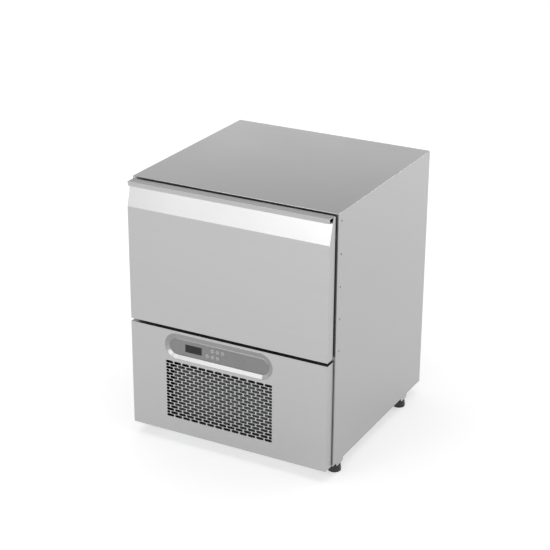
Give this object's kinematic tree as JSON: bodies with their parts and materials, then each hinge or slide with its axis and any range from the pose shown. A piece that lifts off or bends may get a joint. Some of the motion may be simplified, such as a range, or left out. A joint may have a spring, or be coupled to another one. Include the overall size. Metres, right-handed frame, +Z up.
{
  "type": "refrigerated drawer cabinet",
  "caption": "Free-standing stainless refrigerated drawer: an insulated pull-out drawer with a hooked grip lip, over a ventilated machine space with a control panel, on levelling feet.",
  "frame": {"origin": "on the floor, under the middle of the cabinet's box", "axes": "+Z up, -Y towards the person who opens the drawer, +X to the right of someone facing the front"},
  "size_m": [0.6016, 0.61, 0.743],
  "materials": {
    "outer_steel": "satin stainless sheet, fine grain",
    "rivet_steel": "domed steel rivets",
    "zinc_sheet": "zinc-coated sheet with a faint spangle",
    "screw_steel": "zinc-plated screw heads",
    "liner_steel": "satin stainless inner sheet",
    "runner_steel": "drawn runner steel with light grease",
    "insulation": "rigid polyurethane foam",
    "frame_plastic": "extruded dark grey plastic",
    "bezel_plastic": "silver-grey moulded plastic",
    "overlay_film": "matt grey overlay",
    "display_lens": "smoked lens",
    "key_plastic": "satin grey key caps",
    "circuit_board": "green solder mask",
    "coil_fins": "aluminium fins on copper tube",
    "fan_plastic": "moulded black plastic",
    "motor_metal": "dark grey enamel",
    "compressor_enamel": "black enamel",
    "terminal_plastic": "moulded dark plastic",
    "grommet_rubber": "black rubber",
    "copper_pipe": "drawn copper",
    "tray_plastic": "moulded black plastic",
    "probe_plastic": "moulded dark plastic",
    "gasket_rubber": "grey magnetic gasket",
    "gland_plastic": "black nylon",
    "foot_plastic": "black nylon"
  },
  "bodies": {
    "cabinet": {"top_panel": "outer_steel", "right_side_panel": "outer_steel", "left_side_panel": "outer_steel", "lower_front_panel": "outer_steel", "side_rivets": "rivet_steel", "rear_panel": "zinc_sheet", "rear_cover": "zinc_sheet", "compartment_ceiling": "zinc_sheet", "base_pan": "zinc_sheet", "panel_brackets": "zinc_sheet", "condenser_shroud": "zinc_sheet", "panel_screws": "screw_steel", "cold_liner": "liner_steel", "evaporator_cover": "liner_steel", "right_runner_outer": "runner_steel", "left_runner_outer": "runner_steel", "cabinet_foam": "insulation", "breaker_frame": "frame_plastic", "control_bezel": "bezel_plastic", "control_overlay": "overlay_film", "display_window": "display_lens", "controller_board": "circuit_board", "condenser_coil": "coil_fins", "evaporator_coil": "coil_fins", "condenser_fan_motor": "motor_metal", "evaporator_fan_motor": "motor_metal", "compressor": "compressor_enamel", "compressor_terminal_box": "terminal_plastic", "compressor_grommets": "grommet_rubber", "filter_drier": "copper_pipe", "discharge_pipe": "copper_pipe", "liquid_pipe": "copper_pipe", "capillary_tube": "copper_pipe", "suction_pipe": "copper_pipe", "condensate_tray": "tray_plastic", "drain_pipe": "tray_plastic", "temperature_probe": "probe_plastic", "cable_gland": "gland_plastic"},
    "drawer": {"drawer_skin": "outer_steel", "drawer_lip": "outer_steel", "drawer_foam": "insulation", "drawer_inner_panel": "liner_steel", "drawer_gasket": "gasket_rubber", "drawer_box": "liner_steel", "left_runner_inner": "runner_steel", "right_runner_inner": "runner_steel"},
    "left_runner_middle": {"left_runner_middle": "runner_steel"},
    "right_runner_middle": {"right_runner_middle": "runner_steel"},
    "condenser_fan": {"condenser_fan": "fan_plastic"},
    "evaporator_fan": {"evaporator_fan": "fan_plastic"},
    "key_up": {"key_up": "key_plastic"},
    "key_light": {"key_light": "key_plastic"},
    "key_defrost": {"key_defrost": "key_plastic"},
    "key_down": {"key_down": "key_plastic"},
    "key_set": {"key_set": "key_plastic"},
    "key_power": {"key_power": "key_plastic"},
    "foot_front_left": {"foot_front_left": "foot_plastic"},
    "foot_front_right": {"foot_front_right": "foot_plastic"},
    "foot_rear_left": {"foot_rear_left": "foot_plastic"},
    "foot_rear_right": {"foot_rear_right": "foot_plastic"}
  },
  "joints": [
    {"name": "drawer_slide", "type": "slide", "parent": "cabinet", "child": "drawer", "axis": [0, -1, 0], "range_m": [0, 0.4]},
    {"name": "left_runner_slide", "type": "slide", "parent": "cabinet", "child": "left_runner_middle", "axis": [0, -1, 0], "range_m": [0, 0.2]},
    {"name": "right_runner_slide", "type": "slide", "parent": "cabinet", "child": "right_runner_middle", "axis": [0, -1, 0], "range_m": [0, 0.2]},
    {"name": "condenser_fan_spin", "type": "hinge", "parent": "cabinet", "child": "condenser_fan", "pos_m": [-0.023, -0.1715, 0.1324], "axis": [0, 1, 0], "continuous": true},
    {"name": "evaporator_fan_spin", "type": "hinge", "parent": "cabinet", "child": "evaporator_fan", "pos_m": [0, 0.1802, 0.5452], "axis": [0, 1, 0], "continuous": true},
    {"name": "key_up_press", "type": "slide", "parent": "cabinet", "child": "key_up", "axis": [0, 1, 0], "range_m": [0, 0.0008], "stiffness_N_per_m": 800},
    {"name": "key_light_press", "type": "slide", "parent": "cabinet", "child": "key_light", "axis": [0, 1, 0], "range_m": [0, 0.0008], "stiffness_N_per_m": 800},
    {"name": "key_defrost_press", "type": "slide", "parent": "cabinet", "child": "key_defrost", "axis": [0, 1, 0], "range_m": [0, 0.0008], "stiffness_N_per_m": 800},
    {"name": "key_down_press", "type": "slide", "parent": "cabinet", "child": "key_down", "axis": [0, 1, 0], "range_m": [0, 0.0008], "stiffness_N_per_m": 800},
    {"name": "key_set_press", "type": "slide", "parent": "cabinet", "child": "key_set", "axis": [0, 1, 0], "range_m": [0, 0.0008], "stiffness_N_per_m": 800},
    {"name": "key_power_press", "type": "slide", "parent": "cabinet", "child": "key_power", "axis": [0, 1, 0], "range_m": [0, 0.0008], "stiffness_N_per_m": 800},
    {"name": "foot_front_left_screw", "type": "slide", "parent": "cabinet", "child": "foot_front_left", "axis": [0, 0, -1], "range_m": [0, 0.015]},
    {"name": "foot_front_right_screw", "type": "slide", "parent": "cabinet", "child": "foot_front_right", "axis": [0, 0, -1], "range_m": [0, 0.015]},
    {"name": "foot_rear_left_screw", "type": "slide", "parent": "cabinet", "child": "foot_rear_left", "axis": [0, 0, -1], "range_m": [0, 0.015]},
    {"name": "foot_rear_right_screw", "type": "slide", "parent": "cabinet", "child": "foot_rear_right", "axis": [0, 0, -1], "range_m": [0, 0.015]}
  ],
  "couplings": [
    {"joint": "left_runner_slide", "follows": "drawer_slide", "ratio": 0.5},
    {"joint": "right_runner_slide", "follows": "drawer_slide", "ratio": 0.5}
  ]
}
